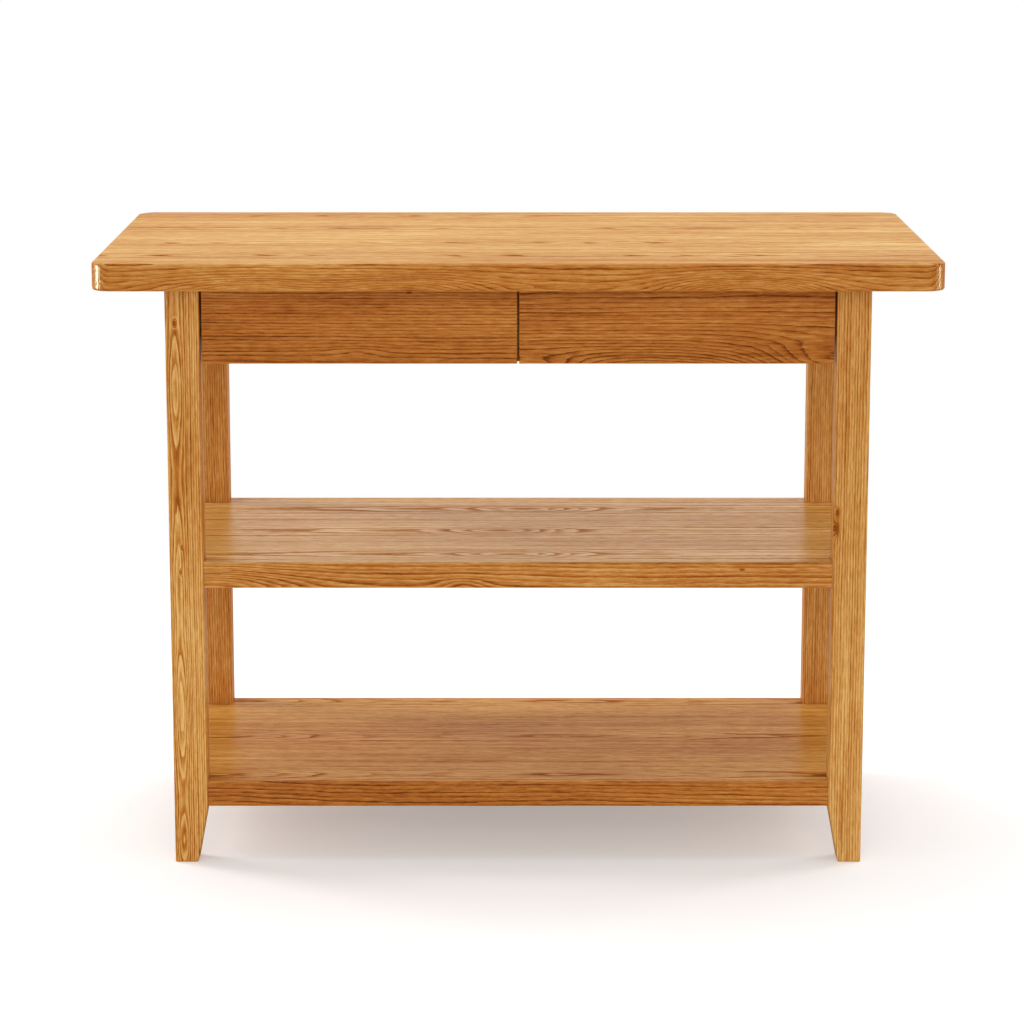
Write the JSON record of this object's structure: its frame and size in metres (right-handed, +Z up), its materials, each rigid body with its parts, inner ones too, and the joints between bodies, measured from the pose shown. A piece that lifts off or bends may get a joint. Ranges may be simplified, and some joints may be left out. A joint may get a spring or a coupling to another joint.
{
  "type": "kitchen island",
  "caption": "Free-standing solid wood kitchen island with a thick rounded top, tapered legs, handleless drawers on ball-bearing slides and open notched shelves.",
  "frame": {"origin": "on the floor under the middle of the top", "axes": "+Z up, +X along the top to the right of someone facing the drawers, drawers open towards -Y"},
  "size_m": [1.22, 0.61, 0.915],
  "materials": {
    "ash": "satin lacquered ash",
    "drawer_ash": "pale ash, thin matt lacquer",
    "plywood": "sanded birch plywood",
    "beech": "raw beech",
    "zinc_steel": "bright zinc plate"
  },
  "bodies": {
    "frame": {"tabletop": "ash", "front_left_leg": "ash", "front_right_leg": "ash", "rear_left_leg": "ash", "rear_right_leg": "ash", "left_side_apron": "ash", "left_slide_batten": "beech", "right_side_apron": "ash", "right_slide_batten": "beech", "rear_apron": "ash", "front_top_rail": "ash", "centre_divider": "ash", "middle_shelf": "ash", "lower_shelf": "ash", "middle_shelf_front_left_dowel": "beech", "middle_shelf_front_right_dowel": "beech", "middle_shelf_rear_left_dowel": "beech", "middle_shelf_rear_right_dowel": "beech", "lower_shelf_front_left_dowel": "beech", "lower_shelf_front_right_dowel": "beech", "lower_shelf_rear_left_dowel": "beech", "lower_shelf_rear_right_dowel": "beech", "tabletop_clip_left_front": "zinc_steel", "tabletop_clip_left_rear": "zinc_steel", "tabletop_clip_right_front": "zinc_steel", "tabletop_clip_right_rear": "zinc_steel", "tabletop_clip_rear_left": "zinc_steel", "tabletop_clip_rear_right": "zinc_steel", "left_drawer_left_slide_cabinet_rail": "zinc_steel", "left_drawer_right_slide_cabinet_rail": "zinc_steel", "right_drawer_left_slide_cabinet_rail": "zinc_steel", "right_drawer_right_slide_cabinet_rail": "zinc_steel"},
    "left_drawer": {"left_drawer_front": "ash", "left_drawer_left_side": "drawer_ash", "left_drawer_right_side": "drawer_ash", "left_drawer_back": "drawer_ash", "left_drawer_bottom": "plywood", "left_drawer_left_slide_drawer_rail": "zinc_steel", "left_drawer_right_slide_drawer_rail": "zinc_steel"},
    "left_middle_rails": {"left_drawer_left_slide_middle_rail": "zinc_steel", "left_drawer_right_slide_middle_rail": "zinc_steel"},
    "left_outer_cages": {"left_drawer_left_slide_outer_cage": "zinc_steel", "left_drawer_right_slide_outer_cage": "zinc_steel"},
    "left_inner_cages": {"left_drawer_left_slide_inner_cage": "zinc_steel", "left_drawer_right_slide_inner_cage": "zinc_steel"},
    "right_drawer": {"right_drawer_front": "ash", "right_drawer_left_side": "drawer_ash", "right_drawer_right_side": "drawer_ash", "right_drawer_back": "drawer_ash", "right_drawer_bottom": "plywood", "right_drawer_left_slide_drawer_rail": "zinc_steel", "right_drawer_right_slide_drawer_rail": "zinc_steel"},
    "right_middle_rails": {"right_drawer_left_slide_middle_rail": "zinc_steel", "right_drawer_right_slide_middle_rail": "zinc_steel"},
    "right_outer_cages": {"right_drawer_left_slide_outer_cage": "zinc_steel", "right_drawer_right_slide_outer_cage": "zinc_steel"},
    "right_inner_cages": {"right_drawer_left_slide_inner_cage": "zinc_steel", "right_drawer_right_slide_inner_cage": "zinc_steel"}
  },
  "joints": [
    {"name": "left_drawer_slide", "type": "slide", "parent": "frame", "child": "left_drawer", "axis": [0, -1, 0], "range_m": [0, 0.34]},
    {"name": "left_middle_rails_slide", "type": "slide", "parent": "frame", "child": "left_middle_rails", "axis": [0, -1, 0], "range_m": [0, 0.1705]},
    {"name": "left_outer_cages_slide", "type": "slide", "parent": "frame", "child": "left_outer_cages", "axis": [0, -1, 0], "range_m": [0, 0.0855]},
    {"name": "left_inner_cages_slide", "type": "slide", "parent": "frame", "child": "left_inner_cages", "axis": [0, -1, 0], "range_m": [0, 0.2555]},
    {"name": "right_drawer_slide", "type": "slide", "parent": "frame", "child": "right_drawer", "axis": [0, -1, 0], "range_m": [0, 0.34]},
    {"name": "right_middle_rails_slide", "type": "slide", "parent": "frame", "child": "right_middle_rails", "axis": [0, -1, 0], "range_m": [0, 0.1705]},
    {"name": "right_outer_cages_slide", "type": "slide", "parent": "frame", "child": "right_outer_cages", "axis": [0, -1, 0], "range_m": [0, 0.0855]},
    {"name": "right_inner_cages_slide", "type": "slide", "parent": "frame", "child": "right_inner_cages", "axis": [0, -1, 0], "range_m": [0, 0.2555]}
  ],
  "couplings": [
    {"joint": "left_middle_rails_slide", "follows": "left_drawer_slide", "ratio": 0.5},
    {"joint": "left_outer_cages_slide", "follows": "left_drawer_slide", "ratio": 0.25},
    {"joint": "left_inner_cages_slide", "follows": "left_drawer_slide", "ratio": 0.75},
    {"joint": "right_middle_rails_slide", "follows": "right_drawer_slide", "ratio": 0.5},
    {"joint": "right_outer_cages_slide", "follows": "right_drawer_slide", "ratio": 0.25},
    {"joint": "right_inner_cages_slide", "follows": "right_drawer_slide", "ratio": 0.75}
  ]
}
